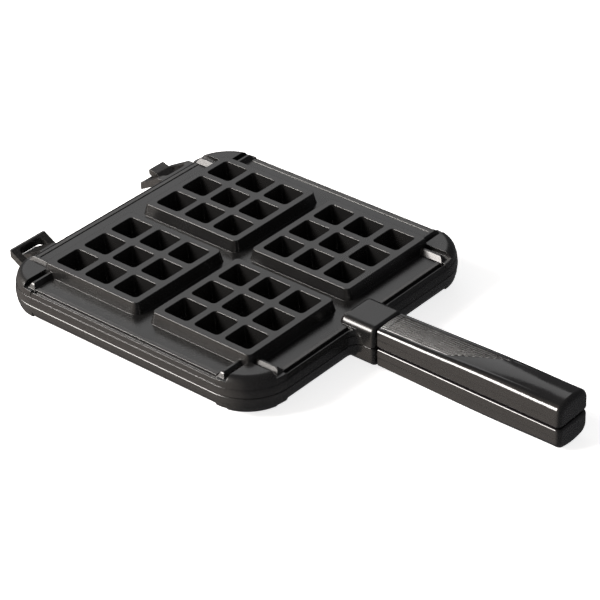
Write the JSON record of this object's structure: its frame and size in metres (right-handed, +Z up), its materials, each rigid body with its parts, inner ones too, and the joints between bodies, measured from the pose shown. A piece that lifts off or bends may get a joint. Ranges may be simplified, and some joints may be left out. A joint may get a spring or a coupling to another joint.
{
  "type": "stovetop waffle iron",
  "caption": "Stovetop waffle iron: hinged cast plates with pocketed square blocks, beaded borders and half-round ribbed grips; opens like a book to bake waffles over a burner.",
  "frame": {"origin": "middle of the bounding box's base, on the surface that the closed iron stands on", "axes": "+X from the hinge toward the grips, +Y to the left seen from the hinge, +Z up"},
  "size_m": [0.3856, 0.216, 0.0342],
  "materials": {
    "cast_plate": "satin black coating on cast aluminium",
    "grip": "glossy black phenolic",
    "fastener": "bright zinc plate"
  },
  "bodies": {
    "lower": {"lower_plate": "cast_plate", "lower_grip": "grip", "lower_grip_screw": "fastener", "lower_lock_washer": "fastener"},
    "upper": {"upper_plate": "cast_plate", "upper_grip": "grip", "upper_grip_screw": "fastener", "upper_lock_washer": "fastener"}
  },
  "joints": [
    {"name": "hinge", "type": "hinge", "parent": "lower", "child": "upper", "pos_m": [-0.186, 0, 0.0171], "axis": [0, -1, 0], "range_deg": [0, 90]}
  ]
}
